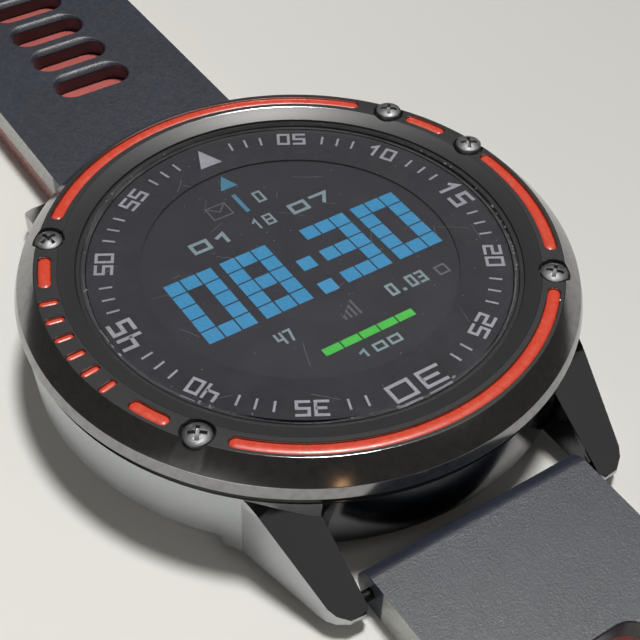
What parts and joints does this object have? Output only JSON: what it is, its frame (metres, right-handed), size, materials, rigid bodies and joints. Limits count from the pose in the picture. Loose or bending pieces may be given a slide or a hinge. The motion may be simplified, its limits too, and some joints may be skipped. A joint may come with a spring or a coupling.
{
  "type": "smartwatch",
  "caption": "Round sports smartwatch with a screwed, red-grooved bezel, swept lugs, push crown and a slotted two-layer strap with a pin buckle, laid out flat.",
  "frame": {"origin": "centre of the case back, on the surface that the watch lies on", "axes": "+X to 3 o'clock, +Y to 12 o'clock along the strap, +Z out of the dial"},
  "size_m": [0.0524, 0.2681, 0.0123],
  "materials": {
    "black_metal": "gloss black coating, matt on the bezel's flat top",
    "red_enamel": "glossy red fill in the grooves",
    "dark_steel": "gunmetal",
    "crystal_glass": "clear mineral glass",
    "seal_rubber": "matt",
    "dial_print": "printed black film with pale ticks and numerals",
    "screen": "reflective colour screen",
    "white_plastic": "milky",
    "black_plastic": "fine moulded texture",
    "flex_film": "amber polyimide",
    "circuit_board": "green solder mask",
    "chip_plastic": "black moulding compound",
    "battery_foil": "pouch foil",
    "led_resin": "clear resin",
    "sensor_glass": "dark smoked window",
    "bright_steel": "fine brushed",
    "gold_contact": "gold plated",
    "crown_metal": "gloss black coating",
    "strap_dark": "matt silicone, charcoal",
    "strap_red": "matt silicone, red",
    "buckle_metal": "satin black coating"
  },
  "bodies": {
    "case": {"case_body": "black_metal", "bezel": "black_metal", "bezel_inlays": "red_enamel", "bezel_screws": "dark_steel", "crystal": "crystal_glass", "crystal_gasket": "seal_rubber", "dial_plate": "dial_print", "lcd_panel": "screen", "backlight": "white_plastic", "display_frame": "black_plastic", "display_flex": "flex_film", "main_board": "circuit_board", "board_chips": "chip_plastic", "battery": "battery_foil", "sensor_board": "circuit_board", "sensor_leds": "led_resin", "sensor_window": "sensor_glass", "motor_can": "bright_steel", "caseback": "black_plastic", "caseback_gasket": "seal_rubber", "caseback_screws": "dark_steel", "charging_contacts": "gold_contact", "crown_seal": "seal_rubber", "crown_switch": "black_plastic"},
    "crown": {"crown": "crown_metal", "crown_clip": "bright_steel"},
    "motor_rotor": {"motor_weight": "bright_steel"},
    "strap_12": {"strap_12_upper": "strap_dark", "strap_12_lower": "strap_red", "spring_bar_12": "bright_steel", "fixed_keeper": "strap_dark"},
    "strap_6": {"strap_6_upper": "strap_dark", "strap_6_lower": "strap_red", "spring_bar_6": "bright_steel"},
    "tip_12_left": {"bar_tip_12_left": "bright_steel"},
    "tip_12_right": {"bar_tip_12_right": "bright_steel"},
    "tip_6_left": {"bar_tip_6_left": "bright_steel"},
    "tip_6_right": {"bar_tip_6_right": "bright_steel"},
    "keeper": {"free_keeper": "strap_dark"},
    "buckle": {"buckle_frame": "buckle_metal", "buckle_pin": "bright_steel"},
    "tang": {"buckle_tang": "buckle_metal"}
  },
  "joints": [
    {"name": "strap_12_hinge", "type": "hinge", "parent": "case", "child": "strap_12", "pos_m": [0, 0.0273, 0.0019], "axis": [1, 0, 0], "range_deg": [-80, 45]},
    {"name": "strap_6_hinge", "type": "hinge", "parent": "case", "child": "strap_6", "pos_m": [0, -0.0273, 0.0019], "axis": [-1, 0, 0], "range_deg": [-80, 45]},
    {"name": "crown_press", "type": "slide", "parent": "case", "child": "crown", "axis": [-1, 0, 0], "range_m": [0, 0.0005], "stiffness_N_per_m": 300},
    {"name": "motor_spin", "type": "hinge", "parent": "case", "child": "motor_rotor", "pos_m": [-0.0174, 0, 0.0039], "axis": [0, 1, 0], "continuous": true},
    {"name": "bar_tip_12_left_slide", "type": "slide", "parent": "strap_12", "child": "tip_12_left", "axis": [-1, 0, 0], "range_m": [-0.0012, 0], "stiffness_N_per_m": 100},
    {"name": "bar_tip_12_right_slide", "type": "slide", "parent": "strap_12", "child": "tip_12_right", "axis": [1, 0, 0], "range_m": [-0.0012, 0], "stiffness_N_per_m": 100},
    {"name": "bar_tip_6_left_slide", "type": "slide", "parent": "strap_6", "child": "tip_6_left", "axis": [-1, 0, 0], "range_m": [-0.0012, 0], "stiffness_N_per_m": 100},
    {"name": "bar_tip_6_right_slide", "type": "slide", "parent": "strap_6", "child": "tip_6_right", "axis": [1, 0, 0], "range_m": [-0.0012, 0], "stiffness_N_per_m": 100},
    {"name": "free_keeper_slide", "type": "slide", "parent": "strap_12", "child": "keeper", "axis": [0, 1, 0], "range_m": [-0.01, 0.006]},
    {"name": "buckle_hinge", "type": "hinge", "parent": "strap_12", "child": "buckle", "pos_m": [0, 0.108, 0.0029], "axis": [1, 0, 0], "range_deg": [-60, 30]},
    {"name": "tang_hinge", "type": "hinge", "parent": "buckle", "child": "tang", "pos_m": [0, 0.108, 0.0029], "axis": [1, 0, 0], "range_deg": [0, 90]}
  ]
}
